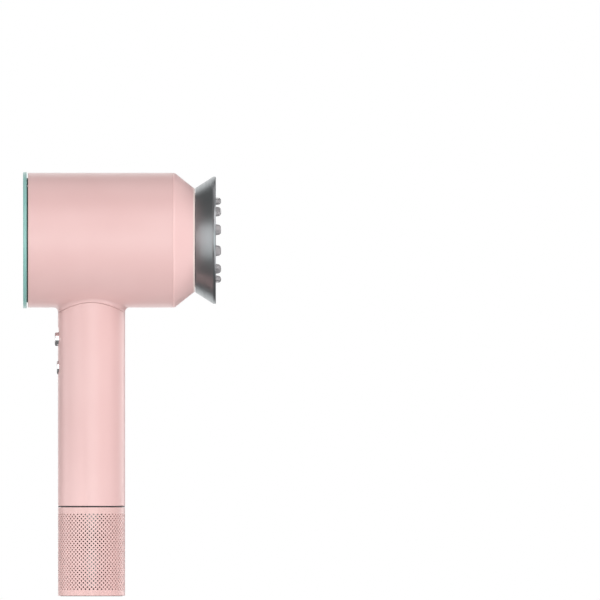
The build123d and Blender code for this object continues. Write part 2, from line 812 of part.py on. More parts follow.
# Two soft rings that hang the motor in the liner.
mount_height = 5.0
with BuildPart(Plane.XY.offset(motor_bottom)) as motor_mounts:
    with Locations((0, 0, 3), (0, 0, motor_length - 3 - mount_height)):
        Cylinder(tube_inner - running, mount_height, align=up)
    Hole(motor_radius + running)
pieces["motor_mounts"] = motor_mounts

with BuildPart(Plane.XY.offset(impeller_bottom)) as impeller:
    with PolarLocations(motor_inner / 2 + 2.6, blade_count):
        with Locations((0, 0, impeller_height / 2)):
            Box(motor_inner / 2 + 2, 0.7, impeller_height, rotation=(32, 0, 0))
    Cylinder(motor_inner - slack, impeller_height, align=up, mode=Mode.INTERSECT)
    Cone(3.2, 6.4, impeller_height, align=up)
    Hole(shaft_radius + running / 2)
pieces["impeller"] = impeller

with BuildPart(Plane.XY.offset(motor_bottom + 1)) as rotor_shaft:
    Cylinder(shaft_radius, motor_length, align=up)
pieces["rotor_shaft"] = rotor_shaft

with BuildPart(Plane.XY.offset(stator_bottom - 0.5)) as rotor_magnet:
    Cylinder(magnet_core_radius, stator_height + 1, align=up)
    Hole(shaft_radius + running / 2)
pieces["rotor_magnet"] = rotor_magnet

# Fixed vanes behind the impeller, with a hub for the lower bearing.
with BuildPart(Plane.XY.offset(spider_bottom)) as motor_spider:
    vane_reach = motor_inner - snug
    Cylinder(hub_outer, spider_height, align=up)
    with PolarLocations((hub_outer + vane_reach) / 2 - 0.2, vane_count):
        Box(vane_reach - hub_outer, 0.9, spider_height, align=up)
    Hole(shaft_radius + slack)
    with Locations((0, 0, lower_bearing_z - spider_bottom)):
        Cylinder(bearing_radius + running, spider_height, align=up, mode=Mode.SUBTRACT)
pieces["motor_spider"] = motor_spider

# Upper bridge, with a hub for the upper bearing.
with BuildPart(Plane.XY.offset(bridge_bottom)) as motor_bridge:
    Cylinder(hub_outer, bearing_width, align=up)
    with PolarLocations((hub_outer + vane_reach) / 2 - 0.2, 3):
        Box(vane_reach - hub_outer, 2.2, bearing_width, align=up)
    Hole(bearing_radius + running)
pieces["motor_bridge"] = motor_bridge

# Lower bearing in the vanes' hub, upper bearing in the bridge.
with BuildPart() as motor_bearings:
    for height in (lower_bearing_z, bridge_bottom):
        with BuildSketch(Plane.XY.offset(height)):
            Circle(bearing_radius)
            Circle(shaft_radius + running, mode=Mode.SUBTRACT)
        extrude(amount=bearing_width)
pieces["motor_bearings"] = motor_bearings

# Stator: a laminated ring with four poles, and a coil on each pole.
pole_count = 4
pole_width = 3.6
pole_tip = magnet_core_radius + 0.5
coil_build = 1.2  # thickness of wire wound on a pole
yoke_inner = motor_inner - 2.8
with BuildPart(Plane.XY.offset(stator_bottom)) as stator_core:
    Cylinder(motor_inner - snug, stator_height, align=up)
    Hole(yoke_inner)
    with PolarLocations((pole_tip + yoke_inner) / 2 + 0.3, pole_count):
        Box(yoke_inner - pole_tip + 0.6, pole_width, stator_height, align=up)
    Cylinder(pole_tip, stator_height, align=up, mode=Mode.SUBTRACT)
pieces["stator_core"] = stator_core

with BuildPart(Plane.XY.offset(stator_bottom)) as stator_coils:
    pole_length = yoke_inner - pole_tip
    coil_length = 0.448 * pole_length
    with PolarLocations(pole_tip + 0.545 * pole_length, pole_count):
        with Locations((0, 0, stator_height / 2)):
            Box(coil_length, pole_width + 2 * coil_build, stator_height + 2 * coil_build)
            Box(2 * coil_length, pole_width + 2 * snug, stator_height + 2 * snug, mode=Mode.SUBTRACT)
pieces["stator_coils"] = stator_coils

motor_board_z = motor_top + 2.5
lead_margin = 3.4  # motor leads to the foam around them
with BuildPart(Plane.XY.offset(motor_board_z)) as motor_board:
    Cylinder(motor_inner - snug, plate, align=up)
    Hole(shaft_radius + 1.5)
pieces["motor_board"] = motor_board

with BuildPart(Plane.XY.offset(motor_board_z + plate)) as motor_leads:
    with Locations(*[(board_middle, y) for y in (-4, 0, 4)]):
        Cylinder(lead_radius, board_bottom - motor_board_z - plate, align=up)
pieces["motor_leads"] = motor_leads

with BuildPart(Plane.XY.offset(motor_board_z + plate + 1)) as acoustic_foam:
    Cylinder(tube_inner - snug, board_bottom - motor_board_z - plate - 3, align=up)
    Hole(-board_middle + lead_margin)
pieces["acoustic_foam"] = acoustic_foam

# ================= diffuser nozzle =================

bell_rear = outlet_x + slack
bell_front = bell_rear + bell_length
rim_front = bell_front + rim_width
bell_radius = outlet_radius + bell_step
mouth_radius = bell_radius + bell_spread
bell_slope = bell_spread / bell_length
collar_outer = outlet_radius - slack
collar_inner = collar_outer - collar_wall
seal_seat = 0.5
seal_width = 1.2
collar_front = bell_rear + bell_floor + snug + 0.9
collar_flange = collar_outer + 1.7
hub_radius = bore_radius - hub_step
hub_outside = hub_radius + hub_wall
face_front = rim_front - face_depth
face_rear = face_front - face_thickness
prong_circle = hub_outside + prong_inset

# Collar that plugs into the head's outlet. The rest of the nozzle turns on it.
seal_rear = outlet_x - collar_reach / 2 - seal_width / 2
with BuildPart() as nozzle_collar:
    with BuildSketch(Plane.XZ):
        with BuildLine():
            Polyline(
                *about_head(
                    (outlet_x - collar_reach, collar_inner),
                    (outlet_x - collar_reach, collar_outer),
                    (seal_rear, collar_outer),
                    (seal_rear, collar_outer - seal_seat),
                    (seal_rear + seal_width, collar_outer - seal_seat),
                    (seal_rear + seal_width, collar_outer),
                    (bell_rear + bell_floor + snug, collar_outer),
                    (bell_rear + bell_floor + snug, collar_flange),
                    (collar_front, collar_flange),
                    (collar_front, collar_inner),
                ),
                close=True,
            )
        make_face()
    revolve(axis=head_axis)
pieces["nozzle_collar"] = nozzle_collar

with BuildPart(on_head(seal_rear + running)) as nozzle_seal:
    Cylinder(outlet_radius - snug, seal_width - 2 * running, align=up)
    Hole(collar_outer - seal_seat + running)
pieces["nozzle_seal"] = nozzle_seal

# Flared outer bell, with a floor that holds the magnets.
magnet_circle = (collar_outer + bell_radius) / 2 + 0.1
magnet_pocket = magnet_depth + snug
with BuildPart() as nozzle_bell:
    with BuildSketch(Plane.XZ):
        with BuildLine():
            Polyline(
                *about_head(
                    (bell_rear, collar_outer + snug),
                    (bell_rear, bell_radius),
                    (bell_front, mouth_radius),
                    (bell_front, mouth_radius - bell_wall),
                    (bell_rear + bell_floor, bell_radius + bell_slope * bell_floor - bell_wall),
                    (bell_rear + bell_floor, collar_outer + snug),
                ),
                close=True,
            )
        make_face()
    revolve(axis=head_axis)
    with BuildSketch(on_head(bell_rear + bell_floor)):
        with PolarLocations(magnet_circle, magnet_count):
            Circle(magnet_radius + running)
    extrude(amount=-magnet_pocket, mode=Mode.SUBTRACT)
pieces["nozzle_bell"] = nozzle_bell

with BuildPart() as nozzle_magnets:
    with BuildSketch(on_head(bell_rear + bell_floor)):
        with PolarLocations(magnet_circle, magnet_count):
            Circle(magnet_radius)
    extrude(amount=-magnet_depth)
pieces["nozzle_magnets"] = nozzle_magnets

# Rounded rim around the bell's mouth.
with BuildPart(on_head(bell_front)) as nozzle_rim:
    Cylinder(mouth_radius, rim_width, align=up)
    Hole(mouth_radius - bell_wall)
    fillet(rings(nozzle_rim.part, mouth_radius)[-1], rim_round)
    fillet(rings(nozzle_rim.part, mouth_radius - bell_wall)[-1], edge_round)
pieces["nozzle_rim"] = nozzle_rim

# Tube at the nozzle's centre, which carries on the head's bore.
with BuildPart(on_head(bell_rear)) as nozzle_hub:
    Cylinder(hub_outside, face_front + 1.2 - bell_rear, align=up)
    Cylinder(sleeve_outer, 1, align=up)
    Hole(hub_radius)
    fillet(rings(nozzle_hub.part, hub_radius)[-1], edge_round)
pieces["nozzle_hub"] = nozzle_hub

# Perforated face between the hub and the bell.
face_inner = hub_outside + running
face_outer = bell_radius + bell_slope * (face_rear - bell_rear) - bell_wall - running
prong_outer = prong_circle + prong_wide / 2
outer_rings = [prong_outer + share * (face_outer - prong_outer) for share in (0.27, 0.72)]
with BuildPart(on_head(face_rear)) as nozzle_face:
    Cylinder(face_outer, face_thickness, align=up)
    Hole(face_inner)
    with BuildSketch(on_head(face_rear)):
        with PolarLocations(prong_circle, prong_count):
            Circle(face_hole)
        for row, ring in enumerate(outer_rings):
            with PolarLocations(ring, 3 * prong_count, start_angle=row * 60 / prong_count):
                Circle(face_hole)
    extrude(amount=face_thickness, mode=Mode.SUBTRACT)
pieces["nozzle_face"] = nozzle_face

# Blunt oval prongs that keep hair off the face.
with BuildPart() as nozzle_prongs:
    with BuildSketch(on_head(face_front)):
        with PolarLocations(prong_circle, prong_count, start_angle=180 / prong_count):
            SlotOverall(prong_long, prong_wide, rotation=90)
    extrude(amount=prong_height, taper=prong_taper)
    fillet(nozzle_prongs.edges().group_by(Axis.X)[-1], prong_round)
pieces["nozzle_prongs"] = nozzle_prongs

# ================= files =================

os.makedirs("parts", exist_ok=True)
for name, piece in pieces.items():
    piece.part.label = name
    export_step(piece.part, f"parts/{name}.step")
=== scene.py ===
from math import hypot, pi, radians, tau

import bmesh
import bpy
from bpy.props import FloatProperty, FloatVectorProperty, IntProperty, PointerProperty
from mathutils import Matrix, Vector


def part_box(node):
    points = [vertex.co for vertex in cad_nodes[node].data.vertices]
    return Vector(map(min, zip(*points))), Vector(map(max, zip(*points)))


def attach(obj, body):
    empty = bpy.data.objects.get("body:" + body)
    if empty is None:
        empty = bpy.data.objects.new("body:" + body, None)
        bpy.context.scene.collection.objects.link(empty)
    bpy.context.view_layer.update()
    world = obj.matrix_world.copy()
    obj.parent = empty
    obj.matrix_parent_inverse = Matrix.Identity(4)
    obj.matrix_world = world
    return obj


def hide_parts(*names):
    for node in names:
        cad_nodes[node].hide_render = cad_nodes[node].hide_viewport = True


bl_info = {
    "name": "Hollow-drum hair dryer",
    "version": (1, 0, 0),
    "blender": (4, 5, 0),
    "location": "3D View > Sidebar > Dryer",
    "description": "Finishes a hair dryer around its CAD frame: shells, metal diffuser, controls and studio",
    "category": "Object",
}

MM = 0.001
TOUCH = 1e-6  # vertices nearer than this are at the same place
CRISP_ANGLE = radians(32)  # edges sharper than this aren't smoothed
ROUND_STEPS = 5  # facets across a turned corner
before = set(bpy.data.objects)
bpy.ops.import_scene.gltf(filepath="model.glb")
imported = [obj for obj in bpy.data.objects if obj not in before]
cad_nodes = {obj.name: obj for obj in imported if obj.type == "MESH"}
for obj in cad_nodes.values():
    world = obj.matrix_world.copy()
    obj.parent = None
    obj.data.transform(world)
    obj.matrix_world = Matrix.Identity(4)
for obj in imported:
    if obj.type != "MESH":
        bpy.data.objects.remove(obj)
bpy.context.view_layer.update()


# ---------------------------------------------------------------- places read from the frame

def low(node):
    """Lowest corner of a CAD node's box."""
    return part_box(node)[0]


def high(node):
    """Highest corner of a CAD node's box."""
    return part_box(node)[1]


def middle(node):
    """Centre of a CAD node's box."""
    return (low(node) + high(node)) / 2


HEAD_HEIGHT = middle("bore_liner").z
FORWARDS = Vector((1, 0, 0))
UP = Vector((0, 0, 1))


def linear(hex_colour):
    """Turns an sRGB colour such as "#E8C4BF" into Blender's linear red, green and blue."""
    shares = [int(hex_colour[i:i + 2], 16) / 255 for i in (1, 3, 5)]
    return [c / 12.92 if c <= 0.04045 else ((c + 0.055) / 1.055) ** 2.4 for c in shares]


# ---------------------------------------------------------------- what a user may change

def colour(name, description, hex_colour):
    """A colour property with its default as sRGB hex."""
    return FloatVectorProperty(
        name=name, description=description, default=linear(hex_colour), subtype="COLOR", size=3, min=0, max=1,
    )


def length(name, description, millimetres):
    """A length property with its default in millimetres."""
    return FloatProperty(
        name=name, description=description, default=millimetres * MM, unit="LENGTH", precision=5, min=0.00001,
    )


class DryerColours(bpy.types.PropertyGroup):
    """Colours of the dryer's finishes."""

    shell: colour("Shell lacquer", "Satin lacquer on the drum and handle", "#E3BFBC")
    shell_shade: colour("Shell lacquer, deeper", "The lacquer where it lies a little thicker", "#DFB9B6")
    # The cone's colour is the shell's lacquer painted a shade lighter, as painted light on the cone.
    cone: colour("Cone lacquer", "The same lacquer on the front cone, a shade lighter", "#F0CCC9")
    lip: colour("Outlet lip", "Pale moulded ring at the nose", "#F8E8E2")
    disc: colour("Rear disc", "Satin lacquer on the rear disc", "#86C0B9")
    # The groove's colour is the disc's teal darkened as painted shadow.
    groove: colour("Groove", "Dark cap in the groove behind the drum", "#5F8078")
    bell: colour("Nozzle metal", "Coated metal of the nozzle's bell", "#93989A")
    smoke: colour("Smoked plastic", "Nozzle face, hub and prongs", "#A8A8AA")
    chrome: colour("Chrome", "Plated control buttons", "#E9E9EA")
    bore: colour("Bore", "Gloss lining of the hollow head", "#2B2B2E")


class DryerSizes(bpy.types.PropertyGroup):
    """Sizes of the details that are finer than the CAD frame."""

    edge_round: length("Edge rounding", "Radius on moulded edges", 0.35)
    rim_round: length("Rim rounding", "Radius on the bell's rolled rim", 0.38)
    rim_groove: length("Rim groove", "Depth of the turned line behind the rim", 0.12)
    prong_round: length("Prong rounding", "Radius on the prongs' tips", 1.6)
    dish_depth: length("Button dish", "Depth of the dish in a button", 0.3)
    cage_pitch: length("Cage pitch", "Spacing of the cage's perforation, square to its rows", 1.2)
    mesh_pitch: length("Mesh pitch", "Wire spacing of the filter mesh", 1.15)
    turned_sides: IntProperty(
        name="Sides of turned pieces", description="Facets round a large ring", default=224, min=32,
    )


def colours():
    """The colours that the user has set."""
    return bpy.context.scene.dryer_colours


def sizes():
    """The sizes that the user has set."""
    return bpy.context.scene.dryer_sizes


# ---------------------------------------------------------------- materials

def add(tree, kind, inputs=None, **settings):
    """Adds a node, sets its settings, and gives each input a value or a link."""
    made = tree.nodes.new(kind)
    for name, value in settings.items():
        setattr(made, name, value)
    for key, value in (inputs or {}).items():
        if isinstance(value, bpy.types.NodeSocket):
            tree.links.new(value, made.inputs[key])
        else:
            made.inputs[key].default_value = value
    return made


def rgba(rgb):
    """A colour as a node socket takes it."""
    return (*rgb, 1.0)


def every(millimetres):
    """Texture scale that repeats about every so many millimetres on Object coordinates."""
    return 1 / (millimetres * MM)


def start(name, **values):
    """A new material with its Principled shader, and values for the sockets that are the same all over."""
    material = bpy.data.materials.new(name)
    material.use_nodes = True
    tree = material.node_tree
    shader = tree.nodes["Principled BSDF"]
    for socket, value in values.items():
        shader.inputs[socket.replace("_", " ")].default_value = value
    place = add(tree, "ShaderNodeTexCoord").outputs["Object"]
    return material, tree, shader, place


def vary(tree, place, size, low_value, high_value, detail=2.0):
    """A value that wanders between two limits over patches of a size in millimetres."""
    noise = add(tree, "ShaderNodeTexNoise", {"Vector": place, "Scale": every(size), "Detail": detail})
    spread = {"Value": noise.outputs["Fac"], "From Min": 0.3, "From Max": 0.7,
              "To Min": low_value, "To Max": high_value}
    return add(tree, "ShaderNodeMapRange", spread).outputs["Result"]


def blend_colours(tree, share, first, second):
    """Mixes two colours by a share."""
    mix = add(tree, "ShaderNodeMix", {"Factor": share}, data_type="RGBA")
    mix.inputs["A"].default_value = rgba(first)
    mix.inputs["B"].default_value = rgba(second)
    return mix.outputs["Result"]


def relief(tree, shader, height, depth):
    """Bump on a shader, from a height between 0 and 1 that stands for a depth in millimetres."""
    bump = add(tree, "ShaderNodeBump", {"Height": height, "Strength": 1.0, "Distance": depth * MM})
    tree.links.new(bump.outputs["Normal"], shader.inputs["Normal"])


def lacquer(name, light, deep, roughness):
    """Satin polyurethane lacquer, sprayed on moulded nylon: even colour, soft sheen, faint orange peel."""
    material, tree, shader, place = start(name, IOR=1.5, Coat_Weight=0.9, Coat_Roughness=0.42)
    patches = vary(tree, place, 45, 0, 1)
    tree.links.new(blend_colours(tree, patches, light, deep), shader.inputs["Base Color"])
    tree.links.new(vary(tree, place, 9, roughness - 0.03, roughness + 0.03), shader.inputs["Roughness"])
    peel = add(tree, "ShaderNodeTexNoise", {"Vector": place, "Scale": every(0.9), "Detail": 1.0})
    relief(tree, shader, peel.outputs["Fac"], 0.006)
    return material


def shell_lacquer():
    """The drum's and handle's lacquer: powdery pink with a broad, soft highlight."""
    return lacquer("satin pink lacquer", colours().shell, colours().shell_shade, roughness=0.42)


def cone_lacquer_painted_lighter():
    """The same satin lacquer on the front cone, painted a shade lighter than on the drum: painted light,
    standing in for light that the lamps don't give the cone.
    """
    return lacquer("pink lacquer painted lighter on the cone", colours().cone, linear("#ECC6C3"), roughness=0.42)


def disc_lacquer():
    """The rear disc's lacquer: cool teal, a little glossier than the shell."""
    return lacquer("satin teal lacquer", colours().disc, linear("#7FB9B2"), roughness=0.36)


def moulded(name, light, deep, roughness, grain, depth):
    """Moulded thermoplastic with a spark-eroded grain: a matt skin with tiny pits, grain in millimetres."""
    material, tree, shader, place = start(name, IOR=1.52)
    tree.links.new(blend_colours(tree, vary(tree, place, 14, 0, 1), light, deep), shader.inputs["Base Color"])
    tree.links.new(vary(tree, place, 3, roughness - 0.04, roughness + 0.04), shader.inputs["Roughness"])
    pits = add(tree, "ShaderNodeTexVoronoi", {"Vector": place, "Scale": every(grain)})
    relief(tree, shader, pits.outputs["Distance"], depth)
    return material


def pale_abs():
    """Moulded ABS, left unpainted: a warm off-white line at the nose."""
    return moulded(
        "pale moulded ABS", colours().lip, linear("#F5E2DB"), roughness=0.4, grain=0.5, depth=0.004,
    )


def groove_nylon_painted_shade():
    """Moulded nylon, coloured through: a deep, matt teal, darker than the disc as painted shade that stands
    in for the disc's shadow in the groove.
    """
    return moulded(
        "teal nylon darkened as painted groove shadow", colours().groove, linear("#587770"), roughness=0.5, grain=0.5, depth=0.01,
    )


def black_nylon():
    """Glass-filled nylon, moulded: near black with a dry, slightly mottled skin."""
    return moulded(
        "black glass-filled nylon", linear("#1E1E20"), linear("#27272A"),
        roughness=0.55, grain=0.6, depth=0.012,
    )


def component_plastic():
    """Moulded housings of electronic parts: black, smoother and shinier than the ducts."""
    return moulded(
        "moulded component housings", linear("#141416"), linear("#1D1D20"),
        roughness=0.35, grain=0.4, depth=0.004,
    )


def mica_board():
    """Pressed mica sheet: layered cream flakes with a pearly glint."""
    return moulded("pressed mica", linear("#CDBB97"), linear("#B49F78"), roughness=0.5, grain=1.6, depth=0.03)


def bore_gloss():
    """Polished dark ABS lining: deep gloss with faint draw lines along the bore."""
    material, tree, shader, place = start(
        "polished bore lining", IOR=1.53, Coat_Weight=0.4, Coat_Roughness=0.08,
    )
    shader.inputs["Base Color"].default_value = rgba(colours().bore)
    stretched = add(tree, "ShaderNodeMapping", {"Vector": place, "Scale": (0.05, 1, 1)}).outputs["Vector"]
    tree.links.new(vary(tree, stretched, 1.5, 0.2, 0.28), shader.inputs["Roughness"])
    return material


def chrome_plate():
    """Decorative chrome over ABS: mirror bright and slightly blue, with hairline wipe marks."""
    material, tree, shader, place = start("chrome plating", Metallic=1.0)
    shader.inputs["Base Color"].default_value = rgba(colours().chrome)
    tree.links.new(vary(tree, place, 1.2, 0.05, 0.11, 4), shader.inputs["Roughness"])
    wipes = add(tree, "ShaderNodeMapping", {"Vector": place, "Scale": (1, 1, 0.08)}).outputs["Vector"]
    lines = add(tree, "ShaderNodeTexNoise", {"Vector": wipes, "Scale": every(0.5), "Detail": 2.0})
    relief(tree, shader, lines.outputs["Fac"], 0.0015)
    return material


def turned_metal():
    """Coated aluminium, spun and then vapour coated dark: satin metal with fine rings left by the tool."""
    material, tree, shader, place = start("coated spun aluminium", Metallic=1.0)
    shader.inputs["Base Color"].default_value = rgba(colours().bell)
    # The rings run round the head's axis, so the pattern changes along it only; real marks are under
    # 0.1 mm apart and are drawn at 0.4 mm so that they show.
    rings = add(tree, "ShaderNodeMapping", {"Vector": place, "Scale": (1, 0.015, 0.015)}).outputs["Vector"]
    marks = add(tree, "ShaderNodeTexNoise", {"Vector": rings, "Scale": every(0.4), "Detail": 3.0})
    relief(tree, shader, marks.outputs["Fac"], 0.004)
    tree.links.new(vary(tree, rings, 0.7, 0.3, 0.38), shader.inputs["Roughness"])
    return material


def smoked_plastic():
    """Smoked polycarbonate, injection moulded: glossy, tinted, letting a little light through."""
    material, tree, shader, place = start(
        "smoked polycarbonate", IOR=1.585, Transmission_Weight=0.15, Coat_Weight=0.5, Coat_Roughness=0.06,
    )
    tint = blend_colours(tree, vary(tree, place, 6, 0, 1), colours().smoke, linear("#98989A"))
    tree.links.new(tint, shader.inputs["Base Color"])
    tree.links.new(vary(tree, place, 2, 0.1, 0.16), shader.inputs["Roughness"])
    return material


def steel(name="ground stainless steel", tone="#B9B9B6", roughness=0.3, grain=0.3):
    """Stainless steel, ground or rolled: grey, with short directional scratches."""
    material, tree, shader, place = start(name, Metallic=1.0)
    shader.inputs["Base Color"].default_value = rgba(linear(tone))
    drawn = add(tree, "ShaderNodeMapping", {"Vector": place, "Scale": (0.08, 1, 1)}).outputs["Vector"]
    scratches = add(tree, "ShaderNodeTexNoise", {"Vector": drawn, "Scale": every(grain), "Detail": 3.0})
    relief(tree, shader, scratches.outputs["Fac"], 0.004)
    worn = vary(tree, drawn, grain * 3, roughness - 0.08, roughness + 0.08)
    tree.links.new(worn, shader.inputs["Roughness"])
    return material


def wire_mesh_steel():
    """Woven stainless wire: a duller, darker grey than ground steel."""
    return steel("woven stainless mesh", "#8F8F8C", roughness=0.36, grain=0.2)


def heating_wire():
    """Nickel-chrome wire, used: grey with straw and blue heat tints that change along the turns."""
    material, tree, shader, place = start("nickel-chrome wire", Metallic=1.0)
    tints = blend_colours(tree, vary(tree, place, 7, 0, 1), linear("#8F857B"), linear("#6F6A70"))
    tree.links.new(tints, shader.inputs["Base Color"])
    tree.links.new(vary(tree, place, 2, 0.3, 0.45), shader.inputs["Roughness"])
    return material


def copper_wire():
    """Enamelled copper windings: orange metal under clear varnish, ribbed by the strands."""
    material, tree, shader, place = start(
        "enamelled copper", Metallic=1.0, Coat_Weight=0.8, Coat_Roughness=0.12,
    )
    shader.inputs["Base Color"].default_value = rgba(linear("#C7774A"))
    strands = add(tree, "ShaderNodeTexWave", {"Vector": place, "Scale": every(3.5) / 3}, bands_direction="Z")
    relief(tree, shader, strands.outputs["Fac"], 0.08)
    tree.links.new(vary(tree, place, 2, 0.25, 0.4), shader.inputs["Roughness"])
    return material


def cage_paint():
    """Lacquered perforated aluminium: the shell's colour, a touch greyer."""
    return lacquer("lacquered cage metal", linear("#DFBCB7"), linear("#D9B5B1"), roughness=0.4)


def circuit_board():
    """FR4 laminate with solder resist: deep green and glossy, with lighter lines of copper under it."""
    material, tree, shader, place = start(
        "green circuit board", IOR=1.55, Coat_Weight=0.6, Coat_Roughness=0.15,
    )
    tracks = add(tree, "ShaderNodeTexBrick", {
        "Vector": place, "Scale": every(12), "Color1": rgba(linear("#0F4A2A")),
        "Color2": rgba(linear("#12552F")), "Mortar": rgba(linear("#2C7A4A")), "Mortar Size": 0.03,
    })
    tree.links.new(tracks.outputs["Color"], shader.inputs["Base Color"])
    tree.links.new(vary(tree, place, 1.0, 0.3, 0.4), shader.inputs["Roughness"])
    return material


def rubber():
    """Silicone rubber, moulded: matt and soft looking, with dust-fine bloom."""
    material, tree, shader, place = start("silicone rubber", IOR=1.43, Sheen_Weight=0.25, Sheen_Roughness=0.5)
    bloom = blend_colours(tree, vary(tree, place, 5, 0, 1), linear("#232325"), linear("#2E2E30"))
    tree.links.new(bloom, shader.inputs["Base Color"])
    tree.links.new(vary(tree, place, 1.5, 0.6, 0.72), shader.inputs["Roughness"])
    skin = add(tree, "ShaderNodeTexNoise", {"Vector": place, "Scale": every(0.35), "Detail": 2.0})
    relief(tree, shader, skin.outputs["Fac"], 0.01)
    return material


def open_foam():
    """Open-cell polyurethane foam, cut: dark grey with cells about 1 mm across, each cell's hollow painted
    darker as painted shade.
    """
    material, tree, shader, place = start("open-cell foam", IOR=1.45, Roughness=0.95)
    cells = add(tree, "ShaderNodeTexVoronoi", {"Vector": place, "Scale": every(1.0)})
    # Painted shade: the colour darkens towards each cell's centre, where the bump makes its pit.
    shade = blend_colours(tree, cells.outputs["Distance"], linear("#1B1B1D"), linear("#4A4A4D"))
    tree.links.new(shade, shader.inputs["Base Color"])
    relief(tree, shader, cells.outputs["Distance"], 0.4)
    return material


def sintered_magnet():
    """Nickel-plated neodymium: bright grey with a fine pebbled plate."""
    return steel("nickel-plated magnet", "#C5C3BD", roughness=0.26, grain=0.5)


def light_guide():
    """Frosted acrylic light guides, unlit: milky white."""
    material, tree, shader, place = start(
        "frosted acrylic", IOR=1.49, Transmission_Weight=0.2, Subsurface_Weight=0.3,
    )
    shader.inputs["Subsurface Scale"].default_value = 0.4 * MM
    milk = blend_colours(tree, vary(tree, place, 0.6, 0, 1), linear("#F4F6F6"), linear("#E4EAEA"))
    tree.links.new(milk, shader.inputs["Base Color"])
    tree.links.new(vary(tree, place, 0.5, 0.3, 0.42), shader.inputs["Roughness"])
    return material


made_materials = {}


def finish_of(maker):
    """The material that a maker function makes, made once and then shared."""
    if maker not in made_materials:
        made_materials[maker] = maker()
    return made_materials[maker]


# ---------------------------------------------------------------- pieces

def dress(maker, *nodes):
    """Gives CAD nodes their material."""
    for node in nodes:
        mesh = cad_nodes[node].data
        mesh.materials.clear()
        mesh.materials.append(finish_of(maker))


def piece(name, bm, body, maker, stands_for):
    """Makes an object of a bmesh, smooth shaded with crisp corners, and rides it on a body."""
    for face in bm.faces:
        face.smooth = True
    for edge in bm.edges:
        edge.smooth = len(edge.link_faces) == 2 and edge.calc_face_angle(0) < CRISP_ANGLE
    mesh = bpy.data.meshes.new(name)
    bm.to_mesh(mesh)
    bm.free()
    mesh.materials.append(finish_of(maker))
    made = bpy.data.objects.new(name, mesh)
    bpy.context.scene.collection.objects.link(made)
    shading = made.modifiers.new("even shading", "WEIGHTED_NORMAL")
    shading.keep_sharp = True
    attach(made, body)
    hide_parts(*stands_for)


def turn(outline, centre, axis, sides):
    """Turns an outline about an axis. It holds (place along the axis, radius, corner rounding) in metres.

    An outline that starts and ends at radius 0 closes on the axis. Any other closes on itself.
    """
    solid = bmesh.new()
    closed = outline[0][1] > 0
    verts = [solid.verts.new((radius, 0, place)) for place, radius, _ in outline]
    ends = verts[1:] + verts[:1] if closed else verts[1:]
    edges = [solid.edges.new(pair) for pair in zip(verts, ends)]
    bmesh.ops.spin(
        solid, geom=verts + edges, cent=(0, 0, 0), axis=(0, 0, 1), angle=tau, steps=sides, use_merge=True,
    )
    bmesh.ops.remove_doubles(solid, verts=solid.verts, dist=1e-7)
    bmesh.ops.recalc_face_normals(solid, faces=solid.faces)
    for place, radius, rounding in outline:
        if rounding:
            at_corner = {
                v for v in solid.verts
                if abs(v.co.z - place) < TOUCH and abs(hypot(v.co.x, v.co.y) - radius) < TOUCH
            }
            corner = [e for e in solid.edges if set(e.verts) <= at_corner]
            bmesh.ops.bevel(
                solid, geom=corner, offset=rounding, offset_type="OFFSET", segments=ROUND_STEPS,
                profile=0.5, affect="EDGES", material=-1, clamp_overlap=True,
            )
    upright = Vector(axis).to_track_quat("Z", "Y").to_matrix().to_4x4()
    bmesh.ops.transform(solid, matrix=Matrix.Translation(centre) @ upright, verts=solid.verts)
    return solid


def join(bm, other):
    """Adds another bmesh to this one, and frees the other."""
    carrier = bpy.data.meshes.new("carrier")
    other.to_mesh(carrier)
    other.free()
    bm.from_mesh(carrier)
    bpy.data.meshes.remove(carrier)


def perforated_sleeve(radius, thickness, bottom, top, margin, pitch, hole, staggered):
    """A thin tube about the handle's axis with rows of holes.

    The holes lie in square cells of the pitch, in every cell or, staggered, in every other one. hole is a
    hole's width as a share of its cell.
    """
    corner_share = 0.29  # of a hole's width: trims its square to a near-regular octagon
    columns = 2 * round(tau * radius / pitch / 2)
    rows = round((top - bottom - 2 * margin) / pitch)
    bm = bmesh.new()
    bmesh.ops.create_grid(bm, x_segments=columns, y_segments=rows, size=0.5)
    bm.faces.ensure_lookup_table()
    wanted = []
    for face in bm.faces:
        at = face.calc_center_median()
        column, row = int((at.x + 0.5) * columns), int((at.y + 0.5) * rows)
        if not staggered or (column + row) % 2 == 0:
            wanted.append(face)
    bmesh.ops.scale(bm, vec=(columns * pitch, rows * pitch, 1), verts=bm.verts)
    bmesh.ops.inset_individual(bm, faces=wanted, thickness=pitch * (1 - hole) / 2, use_even_offset=True)
    if staggered:
        corners = list({v for face in wanted for v in face.verts})
        bmesh.ops.bevel(
            bm, geom=corners, offset=corner_share * hole * pitch, offset_type="OFFSET", segments=1,
            profile=0.5, affect="VERTICES", material=-1,
        )
        wanted = [f for f in bm.faces if len(f.verts) == 8 and f.calc_area() > 0.5 * (hole * pitch) ** 2]
    bmesh.ops.delete(bm, geom=wanted, context="FACES")
    height = rows * pitch
    for vert in bm.verts:
        vert.co.y += bottom + margin + height / 2
    for edge_height, end in ((bottom + margin, bottom), (bottom + margin + height, top)):
        rim = [
            e for e in bm.edges
            if e.is_boundary and all(abs(v.co.y - edge_height) < TOUCH for v in e.verts)
        ]
        band = bmesh.ops.extrude_edge_only(bm, edges=rim)["geom"]
        bmesh.ops.translate(
            bm, vec=(0, end - edge_height, 0), verts=[g for g in band if isinstance(g, bmesh.types.BMVert)],
        )
    for vert in bm.verts:
        angle = vert.co.x / (columns * pitch) * tau
        vert.co = Matrix.Rotation(angle, 3, "Z") @ Vector((radius, 0, vert.co.y))
    bmesh.ops.remove_doubles(bm, verts=bm.verts, dist=TOUCH)
    bmesh.ops.recalc_face_normals(bm, faces=bm.faces)
    outward = sum(f.normal.dot(f.calc_center_median().xy.to_3d()) for f in bm.faces)
    if outward < 0:
        bmesh.ops.reverse_faces(bm, faces=bm.faces)
    bmesh.ops.solidify(bm, geom=bm.faces, thickness=thickness)
    return bm


